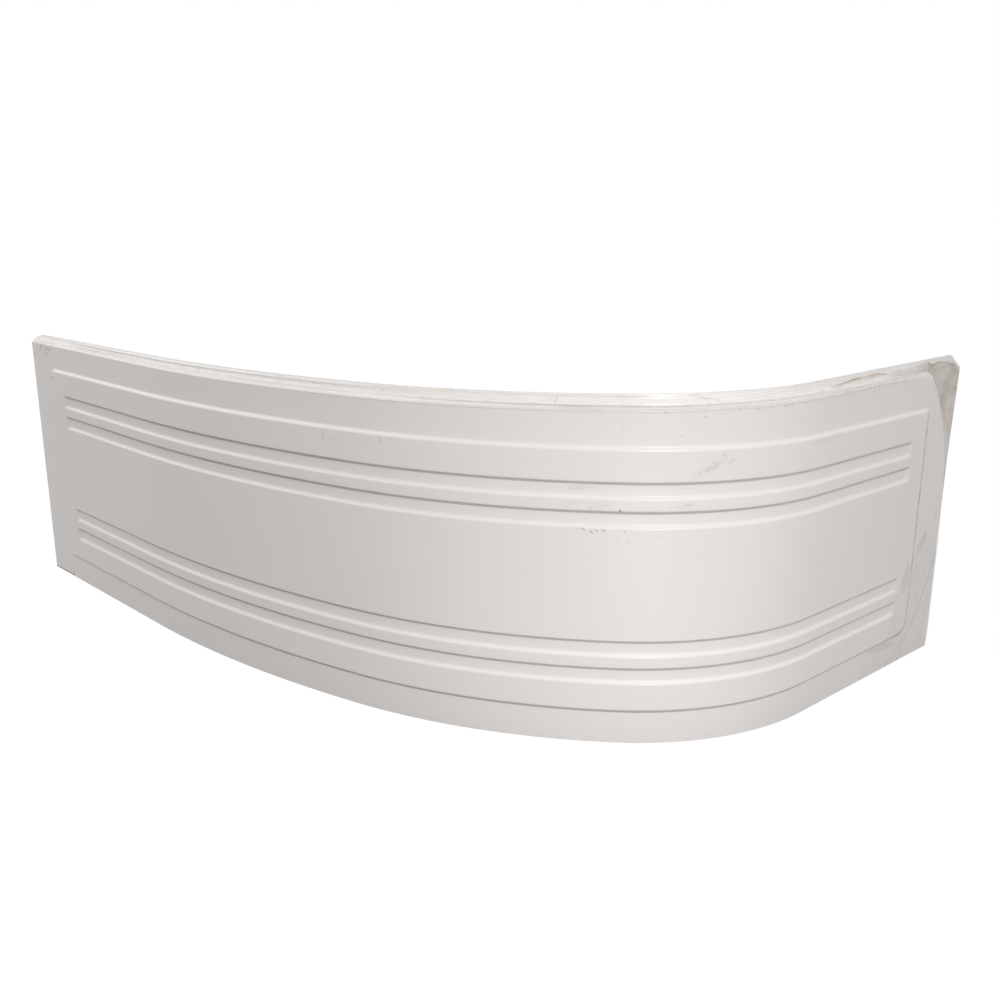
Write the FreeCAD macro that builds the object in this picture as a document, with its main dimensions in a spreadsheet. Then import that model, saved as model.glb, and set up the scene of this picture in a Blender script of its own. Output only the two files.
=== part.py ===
import FreeCAD, Part
import math
import os
import Sketcher

# Front panel of an asymmetric corner bath: one plastic sheet formed over a mould.
# The sheet stands on its lower edge. In plan it is a straight, three bends and a straight.
# Built with the right end at the origin, the right straight along X and the front towards -Y,
# then turned so that the far straight lies along X, and centred over the floor.

SIZES = {
    # overall form
    "height": 545,            # floor to the trimmed top edge of the upstand, at the right end
    "trim_fall": 0.635,       # angle at which the trimmed top edge falls away from the right end
    "trim_heading": 29.4,     # direction of that fall in plan, turned from the right straight
    "face_height": 527,       # floor to the ledge along the top of the border face, at the right end
    "ledge_fall": 0.67,       # angle at which the ledge falls away along the right straight
    "wall": 4,                # thickness of the sheet
    "ledge_depth": 22,        # how far the upstand and the brim stand back from the border face
    "brim_width": 54,         # width of the set-back brim at the right end, where it is widest
    "brim_flare": 9.5,        # how much narrower the brim is lower down
    "brim_flare_length": 175,  # height over which it widens, up to its cut corner
    "brim_corner_run": 41,    # corner cut off the top of the brim, along the top
    "brim_corner_drop": 26,   # and down the end
    "edge_radius": 7,         # rounded front edge of the border face
    "end_arc_radius": 343,    # bow of the right edge of the border face towards the top
    "end_arc_start": 287,     # height at which that bow starts
    "end_corner_radius": 20,  # corner between the bow and the top edge
    # plan path of the border face, from the right end to the far end
    "end_straight": 492,
    "corner_radius": 405,
    "corner_angle": 48,
    "middle_radius": 922,
    "middle_angle": 27.2,
    "long_radius": 2217,
    "long_angle": 14.8,
    "far_straight": 509,
    # raised field
    "field_rise": 4.5,
    "field_bottom": 51.5,
    "field_height": 413,
    "field_right_margin": 151,
    "field_far_margin": 98,
    "field_corner_radius": 10,
    "field_low_corner_radius": 28,  # the corner at the lower right
    # grooves, in two pairs
    "groove_depth": 4.5,
    "groove_width": 26,
    "groove_pitch": 43.5,
    "lower_pair_height": 134,
    "upper_pair_height": 378.5,
    "groove_right_margin": 206,
    "groove_far_margin": 156.5,
    "groove_corner_radius": 6,
    # how far cutting forms run past what they cut
    "overrun": 2,
}

doc = FreeCAD.newDocument("bath_panel")
sheet = doc.addObject("Spreadsheet::Sheet", "sheet")
for row, (alias, number) in enumerate(SIZES.items(), start=1):
    sheet.set(f"A{row}", alias)
    sheet.set(f"B{row}", str(number))
    sheet.setAlias(f"B{row}", alias)
doc.recompute()

BENDS = ("corner", "middle", "long")
# Sloped walls of the relief stand at 45 degrees, and the back of the sheet follows them
# this far to the side.
BACK_SHIFT = "sheet.wall * tan(22.5 deg)"
BRIM_BACK = "sheet.ledge_depth + sheet.wall"
PLAN_TOLERANCE = 1e-4


def value(expression):
    """Number that an expression on the sheet stands for."""
    result = sheet.evalExpression(expression)
    return float(getattr(result, "Value", result))


def bends():
    """Centre, radius, start angle and turn of each bend, from the right end on."""
    angle = math.radians(270)
    centre = FreeCAD.Vector(-value("sheet.end_straight"), value("sheet.corner_radius"), 0)
    found = []
    for place, bend in enumerate(BENDS):
        radius = value(f"sheet.{bend}_radius")
        turn = math.radians(value(f"sheet.{bend}_angle"))
        found.append((centre, radius, angle, turn))
        angle -= turn
        if bend != BENDS[-1]:
            step = radius - value(f"sheet.{BENDS[place + 1]}_radius")
            centre = centre + FreeCAD.Vector(math.cos(angle), math.sin(angle), 0) * step
    return found


def offset_of(point):
    """Distance of a point in front of the border face."""
    if point.x > -value("sheet.end_straight"):
        return -point.y
    for centre, radius, angle, turn in bends():
        across = FreeCAD.Vector(point.x, point.y, 0) - centre
        around = math.atan2(across.y, across.x) % math.tau
        if around >= angle - turn:
            return across.Length - radius
    ending = angle - turn
    return across.x * math.cos(ending) + across.y * math.sin(ending) - radius


def plane(body, role):
    """Origin plane of a body."""
    return next(item for item in body.Origin.OriginFeatures if item.Role == role)


def constrain(sketch, kind, *ends, to):
    """Adds a dimension whose size is an expression on the sheet."""
    number = value(to)
    if kind == "Angle":
        number = math.radians(number)
    index = sketch.addConstraint(Sketcher.Constraint(kind, *ends, number))
    sketch.setExpression(f"Constraints[{index}]", to)


def add_course(sketch, offset, right_gap, far_gap):
    """Draws the plan path at an offset in front of the border face. Returns its two straights."""
    first = sketch.GeometryCount
    front = -value(offset)
    start = FreeCAD.Vector(-value(right_gap), front, 0)
    finish = FreeCAD.Vector(-value("sheet.end_straight"), front, 0)
    sketch.addGeometry(Part.LineSegment(start, finish))
    for centre, radius, angle, turn in bends():
        circle = Part.Circle(centre, FreeCAD.Vector(0, 0, 1), radius - front)
        sketch.addGeometry(Part.ArcOfCircle(circle, angle - turn, angle))
    ending = angle - turn
    outward = FreeCAD.Vector(math.cos(ending), math.sin(ending), 0)
    onward = FreeCAD.Vector(math.sin(ending), -math.cos(ending), 0)
    start = centre + outward * (radius - front)
    run = value("sheet.far_straight") - value(far_gap)
    sketch.addGeometry(Part.LineSegment(start, start + onward * run))

    line, arcs, last = first, range(first + 1, first + 1 + len(BENDS)), first + 1 + len(BENDS)
    sketch.addConstraint(Sketcher.Constraint("Horizontal", line))
    sketch.addConstraint(Sketcher.Constraint("Tangent", line, 2, arcs[0], 2))
    for arc in arcs[:-1]:
        sketch.addConstraint(Sketcher.Constraint("Tangent", arc, 1, arc + 1, 2))
    sketch.addConstraint(Sketcher.Constraint("Tangent", arcs[-1], 1, last, 1))
    constrain(sketch, "DistanceX", arcs[0], 3, -1, 1, to="sheet.end_straight")
    constrain(sketch, "DistanceY", -1, 1, arcs[0], 3, to="sheet.corner_radius")
    for arc, bend in zip(arcs, BENDS):
        constrain(sketch, "Radius", arc, to=f"sheet.{bend}_radius + ({offset})")
        constrain(sketch, "Angle", arc, to=f"sheet.{bend}_angle")
    constrain(sketch, "Distance", line, to=f"sheet.end_straight - ({right_gap})")
    constrain(sketch, "Distance", last, to=f"sheet.far_straight - ({far_gap})")
    return line, last


def band(body, front, back, bottom, top, right_gap, far_gap):
    """Pads an upright band that follows the plan path between two offsets."""
    sketch = body.newObject("Sketcher::SketchObject", body.Name + "_plan")
    sketch.AttachmentSupport = (plane(body, "XY_Plane"), [""])
    sketch.MapMode = "FlatFace"
    sketch.setExpression("AttachmentOffset.Base.z", bottom)
    front_ends = add_course(sketch, front, right_gap, far_gap)
    back_ends = add_course(sketch, back, right_gap, far_gap)
    for near, far, end in zip(front_ends, back_ends, (1, 2)):
        edge = sketch.GeometryCount
        points = (sketch.getPoint(near, end), sketch.getPoint(far, end))
        sketch.addGeometry(Part.LineSegment(*points))
        sketch.addConstraint(Sketcher.Constraint("Coincident", near, end, edge, 1))
        sketch.addConstraint(Sketcher.Constraint("Coincident", far, end, edge, 2))
    pad = body.newObject("PartDesign::Pad", body.Name + "_band")
    pad.Profile = sketch
    pad.setExpression("Length", f"({top}) - ({bottom})")
    doc.recompute()
    return pad


def dress(body, base, kind, edges, size):
    """Rounds (Fillet) or slopes (Chamfer) edges of a feature, found by a test on each edge."""
    names = [f"Edge{n}" for n, edge in enumerate(base.Shape.Edges, start=1) if edges(edge)]
    feature = body.newObject(f"PartDesign::{kind}", f"{body.Name}_{kind.lower()}")
    feature.Base = (base, names)
    feature.setExpression("Radius" if kind == "Fillet" else "Size", size)
    doc.recompute()
    return feature


def across_sheet(edge):
    """True for an edge that runs from the front to the back of a band."""
    ends = [offset_of(vertex.Point) for vertex in edge.Vertexes]
    return max(ends) - min(ends) > PLAN_TOLERANCE


def lies_at(offset):
    """Test for edges that stay at one offset in front of the border face."""
    level = value(offset)

    def test(edge):
        points = edge.discretize(3)
        return all(abs(offset_of(point) - level) < PLAN_TOLERANCE for point in points)

    return test


# Border: the plain face around the relief, with its falling ledge, bowed right edge and rounded
# front edge. The same form, one wall thickness smaller and run past the back and the floor,
# hollows it out.
LEDGE_REACH = "(sheet.end_straight + sheet.long_radius)"
LEDGE_DROP = f"{LEDGE_REACH} * tan(sheet.ledge_fall * 1 deg)"


def border_form(name, inset, back, bottom, far_gap):
    body = doc.addObject("PartDesign::Body", name)
    top = f"sheet.face_height - ({inset})"
    front = f"-({inset})"
    pad = band(body, front, back, bottom, top, "0", far_gap)

    sketch = body.newObject("Sketcher::SketchObject", name + "_outline")
    sketch.AttachmentSupport = (plane(body, "XZ_Plane"), [""])
    sketch.MapMode = "FlatFace"
    far = -value(LEDGE_REACH)
    end = -value("sheet.brim_width") - value(inset)
    past = value("sheet.overrun")
    low = value(bottom) - past
    high = value(top) + past
    slope = math.radians(value("sheet.ledge_fall"))
    bow = value("sheet.end_arc_radius") - value(inset)
    bow_centre = FreeCAD.Vector(end - bow, value("sheet.end_arc_start"), 0)
    ledge_over_centre = value(top) + bow_centre.x * math.tan(slope) - bow_centre.y
    rise = slope + math.asin(ledge_over_centre * math.cos(slope) / bow)
    bow_end = bow_centre + FreeCAD.Vector(math.cos(rise), math.sin(rise), 0) * bow
    corners = [
        bow_centre + FreeCAD.Vector(bow, 0, 0),
        FreeCAD.Vector(end, low, 0),
        FreeCAD.Vector(past, low, 0),
        FreeCAD.Vector(past, high, 0),
        FreeCAD.Vector(far, high, 0),
        FreeCAD.Vector(far, value(top) + far * math.tan(slope), 0),
        bow_end,
    ]
    for near, onward in zip(corners, corners[1:]):
        sketch.addGeometry(Part.LineSegment(near, onward))
    circle = Part.Circle(bow_centre, FreeCAD.Vector(0, 0, 1), bow)
    arc = sketch.addGeometry(Part.ArcOfCircle(circle, 0, rise))
    end_line, low_line, right_line, high_line, far_line, ledge_line = range(6)
    for line in range(ledge_line):
        sketch.addConstraint(Sketcher.Constraint("Coincident", line, 2, line + 1, 1))
    sketch.addConstraint(Sketcher.Constraint("Coincident", ledge_line, 2, arc, 2))
    sketch.addConstraint(Sketcher.Constraint("Tangent", end_line, 1, arc, 1))
    for line in (low_line, high_line):
        sketch.addConstraint(Sketcher.Constraint("Horizontal", line))
    for line in (end_line, right_line, far_line):
        sketch.addConstraint(Sketcher.Constraint("Vertical", line))
    constrain(sketch, "DistanceX", end_line, 2, -1, 1, to=f"sheet.brim_width + ({inset})")
    constrain(sketch, "DistanceX", -1, 1, right_line, 1, to="sheet.overrun")
    constrain(sketch, "DistanceX", far_line, 1, -1, 1, to=LEDGE_REACH)
    constrain(sketch, "DistanceY", -1, 1, arc, 1, to="sheet.end_arc_start")
    constrain(sketch, "DistanceY", -1, 1, high_line, 1, to=f"{top} + sheet.overrun")
    constrain(sketch, "DistanceY", low_line, 1, -1, 1, to=f"sheet.overrun - ({bottom})")
    constrain(sketch, "DistanceY", -1, 1, ledge_line, 1, to=f"{top} - {LEDGE_DROP}")
    constrain(sketch, "Angle", ledge_line, to="sheet.ledge_fall")
    constrain(sketch, "Radius", arc, to=f"sheet.end_arc_radius - ({inset})")
    doc.recompute()

    pocket = body.newObject("PartDesign::Pocket", name + "_end")
    pocket.Profile = sketch
    pocket.Type = "ThroughAll"
    pocket.Midplane = True
    doc.recompute()

    def top_corner(edge):
        at_right = all(-value("sheet.end_straight") < v.X < end - past for v in edge.Vertexes)
        above_bow = all(v.Z > bow_centre.y + PLAN_TOLERANCE for v in edge.Vertexes)
        return at_right and above_bow and across_sheet(edge)

    corner = dress(body, pocket, "Fillet", top_corner, f"sheet.end_corner_radius - ({inset})")

    def front_edge(edge):
        start, middle, finish = edge.discretize(3)
        at_floor = max(start.z, middle.z, finish.z) - value(bottom) < PLAN_TOLERANCE
        upright = math.hypot(finish.x - start.x, finish.y - start.y) < PLAN_TOLERANCE
        far_end = upright and middle.x < -value("sheet.end_straight")
        return lies_at(front)(edge) and not at_floor and not far_end

    dress(body, corner, "Fillet", front_edge, f"sheet.edge_radius - ({inset})")
    return body


border = border_form("border", "0", f"-({BRIM_BACK})", "0", "0")
border_hollow = border_form(
    "border_hollow", "sheet.wall", f"-({BRIM_BACK} + sheet.overrun)", "-sheet.overrun", "-sheet.overrun"
)

# Flange: the set-back upstand along the top and brim at the right end, a flat strip of the sheet.
flange = doc.addObject("PartDesign::Body", "flange")
band(flange, "-sheet.ledge_depth", f"-({BRIM_BACK})", "0", "sheet.height", "0", "0")


def cut_outline(name, corners, heading="0 deg"):
    """Cuts the flange along an outline that is drawn from the front, turned by a heading in plan."""
    sketch = flange.newObject("Sketcher::SketchObject", name + "_outline")
    sketch.AttachmentSupport = (plane(flange, "XZ_Plane"), [""])
    sketch.MapMode = "FlatFace"
    turn = FreeCAD.Rotation(FreeCAD.Vector(0, -1, 0), value(heading))
    sketch.AttachmentOffset = FreeCAD.Placement(FreeCAD.Vector(), turn)
    if value(heading):
        sketch.setExpression("AttachmentOffset.Rotation.Angle", heading)
    points = [FreeCAD.Vector(value(along), value(up), 0) for along, up in corners]
    for near, onward in zip(points, points[1:] + points[:1]):
        sketch.addGeometry(Part.LineSegment(near, onward))
    for line, (along, up) in enumerate(corners):
        onward = (line + 1) % len(corners)
        sketch.addConstraint(Sketcher.Constraint("Coincident", line, 2, onward, 1))
        for kind, place, axis in (("DistanceX", along, -2), ("DistanceY", up, -1)):
            if value(place) > 0:
                constrain(sketch, kind, -1, 1, line, 1, to=place)
            elif value(place) < 0:
                constrain(sketch, kind, line, 1, -1, 1, to=f"-({place})")
            else:
                sketch.addConstraint(Sketcher.Constraint("PointOnObject", line, 1, axis))
    doc.recompute()
    pocket = flange.newObject("PartDesign::Pocket", name)
    pocket.Profile = sketch
    pocket.Type = "ThroughAll"
    pocket.Midplane = True
    doc.recompute()


BRIM_CORNER = "sheet.height - sheet.brim_corner_drop"
cut_outline(
    "brim_end",
    [
        ("-sheet.brim_flare", "-sheet.overrun"),
        ("-sheet.brim_flare", f"{BRIM_CORNER} - sheet.brim_flare_length"),
        ("0", BRIM_CORNER),
        ("-sheet.brim_corner_run", "sheet.height"),
        ("sheet.overrun", "sheet.height"),
        ("sheet.overrun", "-sheet.overrun"),
    ],
)

# The top of the flange is trimmed along one slanting plane.
TRIM_REACH = "(sheet.far_straight + sheet.long_radius)"
TRIM_DROP = f"{TRIM_REACH} * tan(sheet.trim_fall * 1 deg)"
cut_outline(
    "trim",
    [
        ("0", "sheet.height"),
        (f"-{TRIM_REACH}", "sheet.height"),
        (f"-{TRIM_REACH}", f"sheet.height - {TRIM_DROP}"),
    ],
    heading="sheet.trim_heading * 1 deg",
)


# Relief: bands that follow the face, with rounded corners and walls sloped at 45 degrees.
# The field rises from the border, so its front is sloped. Grooves sink into it, so their floor is.
def relief(name, front, back, sloped, depth, bottom, top, right_gap, far_gap, corner, low_corner):
    body = doc.addObject("PartDesign::Body", name)
    pad = band(body, front, back, bottom, top, right_gap, far_gap)

    def lower_right(edge):
        place = edge.CenterOfMass
        return place.z < (value(bottom) + value(top)) / 2 and place.x > -value("sheet.end_straight")

    def plain_corner(edge):
        return across_sheet(edge) and not lower_right(edge)

    def low_right_corner(edge):
        return across_sheet(edge) and lower_right(edge)

    rounded = dress(body, pad, "Fillet", plain_corner, corner)
    rounded = dress(body, rounded, "Fillet", low_right_corner, low_corner)
    dress(body, rounded, "Chamfer", lies_at(sloped), depth)
    return body


def field_form(name, inset, shift):
    front = f"sheet.field_rise - ({inset})"
    return relief(
        name,
        front=front,
        back=f"-({inset}) - sheet.overrun",
        sloped=front,
        depth="sheet.field_rise",
        bottom=f"sheet.field_bottom + ({shift})",
        top=f"sheet.field_bottom + sheet.field_height - ({shift})",
        right_gap=f"sheet.field_right_margin + ({shift})",
        far_gap=f"sheet.field_far_margin + ({shift})",
        corner=f"sheet.field_corner_radius - ({shift})",
        low_corner=f"sheet.field_low_corner_radius - ({shift})",
    )


field = field_form("field", "0", "0")
field_hollow = field_form("field_hollow", "sheet.wall", BACK_SHIFT)


def groove_form(name, middle, inset, shift):
    floor = f"sheet.field_rise - sheet.groove_depth - ({inset})"
    half = f"sheet.groove_width / 2 + ({shift})"
    return relief(
        name,
        front=f"sheet.field_rise - ({inset}) + sheet.overrun",
        back=floor,
        sloped=floor,
        depth="sheet.groove_depth",
        bottom=f"{middle} - ({half})",
        top=f"{middle} + {half}",
        right_gap=f"sheet.groove_right_margin - ({shift})",
        far_gap=f"sheet.groove_far_margin - ({shift})",
        corner=f"sheet.groove_corner_radius + ({shift})",
        low_corner=f"sheet.groove_corner_radius + ({shift})",
    )


grooves = []
groove_backs = []
for pair in ("lower", "upper"):
    for side, sign in (("a", "-"), ("b", "+")):
        middle = f"sheet.{pair}_pair_height {sign} sheet.groove_pitch / 2"
        grooves.append(groove_form(f"{pair}_groove_{side}", middle, "0", "0"))
        groove_backs.append(groove_form(f"{pair}_groove_back_{side}", middle, "sheet.wall", BACK_SHIFT))


def combine(kind, name, parts):
    """Joins (MultiFuse) bodies, or takes the second from the first (Cut)."""
    result = doc.addObject(f"Part::{kind}", name)
    if kind == "Cut":
        result.Base, result.Tool = parts
    else:
        result.Shapes = parts
    result.Refine = True
    doc.recompute()
    return result


# The sheet is what lies between its front and the same form one wall thickness behind it.
front_blank = combine("MultiFuse", "front_blank", [border, flange, field])
groove_cutter = combine("MultiFuse", "groove_cutter", grooves)
front_side = combine("Cut", "front_side", [front_blank, groove_cutter])
back_blank = combine("MultiFuse", "back_blank", [border_hollow, field_hollow])
groove_ridges = combine("MultiFuse", "groove_ridges", groove_backs)
back_side = combine("Cut", "back_side", [back_blank, groove_ridges])
panel = combine("Cut", "bath_panel", [front_side, back_side])
panel.Label = "bath_panel"

# The far straight is turned to lie along X, and the panel is centred over the floor.
turn = FreeCAD.Rotation(FreeCAD.Vector(0, 0, 1), sum(value(f"sheet.{bend}_angle") for bend in BENDS))
turned = panel.Shape.copy()
turned.Placement = FreeCAD.Placement(FreeCAD.Vector(), turn)
box = turned.optimalBoundingBox(False, False)
panel.Placement = FreeCAD.Placement(FreeCAD.Vector(-box.Center.x, -box.Center.y, -box.ZMin), turn)
doc.recompute()

for item in doc.Objects:
    if "Invalid" in item.State or "Error" in item.State:
        raise RuntimeError(f"{item.Name} did not build: {item.State}")
if panel.Shape.isNull() or not panel.Shape.isValid():
    raise RuntimeError("bath_panel is not a valid shape")
if len(panel.Shape.Solids) != 1:
    raise RuntimeError(f"bath_panel has {len(panel.Shape.Solids)} solids")

os.makedirs("parts", exist_ok=True)
panel.Shape.exportStep(f"parts/{panel.Label}.step")
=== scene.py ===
import bmesh
import bpy
import math
from mathutils import Euler, Matrix, Vector, noise


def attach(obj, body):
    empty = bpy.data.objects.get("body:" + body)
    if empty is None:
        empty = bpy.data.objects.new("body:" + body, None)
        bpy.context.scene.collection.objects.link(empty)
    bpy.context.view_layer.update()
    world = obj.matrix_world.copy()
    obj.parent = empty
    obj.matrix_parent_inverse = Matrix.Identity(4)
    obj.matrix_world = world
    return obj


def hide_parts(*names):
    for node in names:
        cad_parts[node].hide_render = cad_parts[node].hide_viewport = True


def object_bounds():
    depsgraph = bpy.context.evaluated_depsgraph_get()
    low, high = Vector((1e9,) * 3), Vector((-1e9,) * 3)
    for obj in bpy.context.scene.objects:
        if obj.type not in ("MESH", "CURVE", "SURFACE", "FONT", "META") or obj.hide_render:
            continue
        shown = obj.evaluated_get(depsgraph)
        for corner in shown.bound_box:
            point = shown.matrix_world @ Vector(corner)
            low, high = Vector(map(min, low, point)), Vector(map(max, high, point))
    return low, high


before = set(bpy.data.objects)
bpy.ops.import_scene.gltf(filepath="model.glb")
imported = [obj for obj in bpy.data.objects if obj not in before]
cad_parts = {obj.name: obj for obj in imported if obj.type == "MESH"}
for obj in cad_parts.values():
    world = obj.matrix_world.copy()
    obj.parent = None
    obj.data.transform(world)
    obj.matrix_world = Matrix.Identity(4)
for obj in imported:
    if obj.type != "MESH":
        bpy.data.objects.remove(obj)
cad_low, cad_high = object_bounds()

# Bath panel: one sheet of glossy white plastic, 4 mm thick, drawn hot over a mould.
# A flat border carries a raised field with two pairs of grooves. The top folds back
# into a ledge and an upstand, and the right end steps back to a flat brim.
SHEET_THICKNESS = 0.004
LEDGE_DEPTH = 0.022

# plan path of the border face, from the far end to the right end
FAR_STRAIGHT = 0.509
BENDS = [(2.217, math.radians(14.8)), (0.922, math.radians(27.2)), (0.405, math.radians(48))]
END_STRAIGHT = 0.492
ARC_RUN = sum(radius * turn for radius, turn in BENDS)
TOTAL_RUN = FAR_STRAIGHT + ARC_RUN + END_STRAIGHT

# right end: a brim that widens towards its cut corner, beside the bowed edge of the face
BRIM_WIDTH = 0.054
BRIM_FLARE, BRIM_FLARE_LENGTH = 0.0095, 0.175
BRIM_CORNER_RUN, BRIM_CORNER_DROP = 0.041, 0.026
BRIM_FOOT_ROUND = 0.018
FACE_RUN = TOTAL_RUN - BRIM_WIDTH
BOW_RADIUS, BOW_START = 0.343, 0.287
BOW_MIDDLE = FACE_RUN - BOW_RADIUS

# top: the ledge and the trimmed edge of the upstand both fall away from the right end
TOP_HEIGHT, TRIM_FALL, TRIM_HEADING = 0.545, math.radians(0.635), math.radians(29.4)
LEDGE_HEIGHT, LEDGE_FALL = 0.527, math.radians(0.67)
ledge_over_bow = LEDGE_HEIGHT - (TOTAL_RUN - BOW_MIDDLE) * math.tan(LEDGE_FALL) - BOW_START
BOW_TURN = LEDGE_FALL + math.asin(ledge_over_bow * math.cos(LEDGE_FALL) / BOW_RADIUS)
FACE_HEIGHT = BOW_START + BOW_RADIUS * math.sin(BOW_TURN)
CORNER_RUN = BOW_MIDDLE + BOW_RADIUS * math.cos(BOW_TURN)
BRIM_CUT_HEIGHT = TOP_HEIGHT - BRIM_CORNER_DROP

# rounded edge of the face, tighter along the top than at the right end
FACE_CORNER_CUT = 0.0085
EDGE_ROUND = 0.007
TOP_ROUND_SHARE, TOP_ROUND_RUNS = 0.42, (2.08, 2.18)
FOOT_ROUND = 0.0025

FIELD_RISE = 0.0045
FIELD_ENDS = (0.098, TOTAL_RUN - 0.151)
FIELD_LEVELS = (0.0515, 0.4645)
FIELD_CORNER, FIELD_LOW_CORNER = 0.0075, 0.021

GROOVE_ENDS = (0.1565, TOTAL_RUN - 0.206)
GROOVE_MIDDLES = (0.11225, 0.15575, 0.35675, 0.40025)
GROOVE_HALF = 0.013
GROOVE_CORNER = 0.0042
GROOVE_END_EASE, GROOVE_END_ZONE = (0.005, -0.006), 0.02
SOFT_EDGE = 0.0021
LARGE_CORNER = 0.015

STATION = 0.012
TINY, NEAR = 1e-6, 1e-5
path_start = Vector((cad_low.x, cad_low.y + FIELD_RISE))


def bent(run, out, height):
    """Place on the standing panel of a point of the flat sheet, out in front of the border face."""
    place, heading = path_start.copy(), 0.0
    legs = [(FAR_STRAIGHT, 0.0)]
    legs += [(radius * turn, 1 / radius) for radius, turn in BENDS]
    for length, curvature in legs:
        step = min(run, length)
        ahead = Vector((math.cos(heading), math.sin(heading)))
        if curvature:
            turn = step * curvature
            inward = Vector((-ahead.y, ahead.x))
            place += (ahead * math.sin(turn) + inward * (1 - math.cos(turn))) / curvature
            heading += turn
        else:
            place += ahead * step
        run -= step
    place += Vector((math.cos(heading), math.sin(heading))) * run
    place += Vector((math.sin(heading), -math.cos(heading))) * out
    return Vector((place.x, place.y, height))


def clamp(value, low=0, high=1):
    """The value, kept between two limits."""
    return min(max(value, low), high)


def formed(run, out, height):
    """Place on the finished panel: bent in plan, lowered with the ledge and trimmed at the top."""
    spot = bent(run, out, height)
    border_top = FACE_HEIGHT - EDGE_ROUND
    share = (height - FIELD_LEVELS[1]) / (border_top - FIELD_LEVELS[1])
    behind_corner = cad_high.y - (TOTAL_RUN - CORNER_RUN) - spot.y
    spot.z -= clamp(share) * max(behind_corner, 0) * math.tan(LEDGE_FALL)
    away = (cad_high.y - spot.y) * math.cos(TRIM_HEADING)
    away += (cad_high.x - FIELD_RISE - spot.x) * math.sin(TRIM_HEADING)
    spot.z = min(spot.z, TOP_HEIGHT - away * math.tan(TRIM_FALL))
    return spot


def flat_faces(mesh, faces, axis, places):
    """Cuts flat faces along straight lines across an axis and returns what they become."""
    for place in places:
        region = dict.fromkeys(faces)
        for face in faces:
            region.update(dict.fromkeys([*face.edges, *face.verts]))
        cut = bmesh.ops.bisect_plane(mesh, geom=list(region), plane_co=axis * place, plane_no=axis)
        faces = [item for item in cut["geom"] if isinstance(item, bmesh.types.BMFace)]
    return faces


def face_at(mesh, run, height):
    """The flat face that a point of the sheet lies in."""
    for face in mesh.faces:
        runs = [vert.co.x for vert in face.verts]
        heights = [vert.co.z for vert in face.verts]
        if min(runs) < run < max(runs) and min(heights) < height < max(heights):
            return face


def rounded(mesh, geom, offset, segments, affect="EDGES", slide=False):
    """Rounds edges or corners."""
    bmesh.ops.bevel(
        mesh, geom=geom, offset=offset, segments=segments, profile=0.5, affect=affect, material=-1,
        loop_slide=slide,
    )


def brim_edge(height):
    """Run of the brim's outer edge, with its flare and its cut corner."""
    below = clamp((BRIM_CUT_HEIGHT - height) / BRIM_FLARE_LENGTH)
    above = max(height - BRIM_CUT_HEIGHT, 0) / BRIM_CORNER_DROP
    return TOTAL_RUN - below * BRIM_FLARE - above * BRIM_CORNER_RUN


def finished(name, built):
    """Turns built faces into an object of the scene."""
    mesh = bpy.data.meshes.new(name)
    built.to_mesh(mesh)
    built.free()
    piece = bpy.data.objects.new(name, mesh)
    bpy.context.scene.collection.objects.link(piece)
    return piece


def sloped_step(mesh, face, depth, corner, low_corner):
    """Raises or sinks a flat face behind walls at 45 degrees, with rounded corners between them.

    The lower right corner has a size of its own.
    """
    walls = bmesh.ops.inset_region(
        mesh, faces=[face], thickness=abs(depth), depth=depth,
        use_even_offset=True, use_boundary=True,
    )["faces"]
    sloped = set(walls)
    mitres = [
        edge for edge in mesh.edges
        if len(edge.link_faces) == 2 and set(edge.link_faces) <= sloped
    ]
    mitres.sort(key=lambda edge: sum(vert.co.x - vert.co.z * 10 for vert in edge.verts))
    for edges, offset in ((mitres[-1:], low_corner), (mitres[:-1], corner)):
        rounded(mesh, edges, offset, 9 if offset > LARGE_CORNER else 5)


RUN, HEIGHT = Vector((1, 0, 0)), Vector((0, 0, 1))
skin = bmesh.new()

# border face: floor line, straight and bowed right edge, top edge with a rounded corner
skin.verts.new((FACE_RUN, 0, 0))
bow_start = skin.verts.new((FACE_RUN, 0, BOW_START))
bow = bmesh.ops.spin(
    skin, geom=[bow_start], cent=(BOW_MIDDLE, 0, BOW_START), axis=(0, -1, 0), angle=BOW_TURN,
    steps=14,
)
bow_top = [item for item in bow["geom_last"] if isinstance(item, bmesh.types.BMVert)][0]
skin.verts.new((0, 0, FACE_HEIGHT))
skin.verts.new((0, 0, 0))
skin.faces.new(skin.verts)
rounded(skin, [bow_top], FACE_CORNER_CUT, 5, "VERTICES")

# the top and the right end fold back by the depth of the ledge, then turn up and outwards
front_edges = [
    edge for edge in skin.edges
    if max(v.co.z for v in edge.verts) > TINY and max(v.co.x for v in edge.verts) > TINY
]
folded = bmesh.ops.extrude_edge_only(skin, edges=front_edges)["geom"]
foot = {item for item in folded if isinstance(item, bmesh.types.BMVert)}
bmesh.ops.translate(skin, verts=list(foot), vec=(0, LEDGE_DEPTH, 0))
foot_edges = [edge for edge in skin.edges if set(edge.verts) <= foot]
turned = bmesh.ops.extrude_edge_only(skin, edges=foot_edges)["geom"]
rim = {item for item in turned if isinstance(item, bmesh.types.BMVert)}
brim_side = []
for vert in rim:
    if vert.co.z > FACE_HEIGHT - TINY:
        vert.co.z = TOP_HEIGHT
    else:
        brim_side.append(vert)
for level in (BRIM_CUT_HEIGHT, BRIM_CUT_HEIGHT - BRIM_FLARE_LENGTH):
    min(brim_side, key=lambda vert: abs(vert.co.z - level)).co.z = level
for vert in brim_side:
    vert.co.x = brim_edge(vert.co.z)
brim_top = [
    edge for edge in skin.edges
    if set(edge.verts) <= rim and abs(edge.verts[0].co.x - edge.verts[1].co.x) > TINY
    and {vert in brim_side for vert in edge.verts} == {True, False}
]
corner = bmesh.ops.subdivide_edges(skin, edges=brim_top, cuts=1)["geom_inner"]
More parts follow.
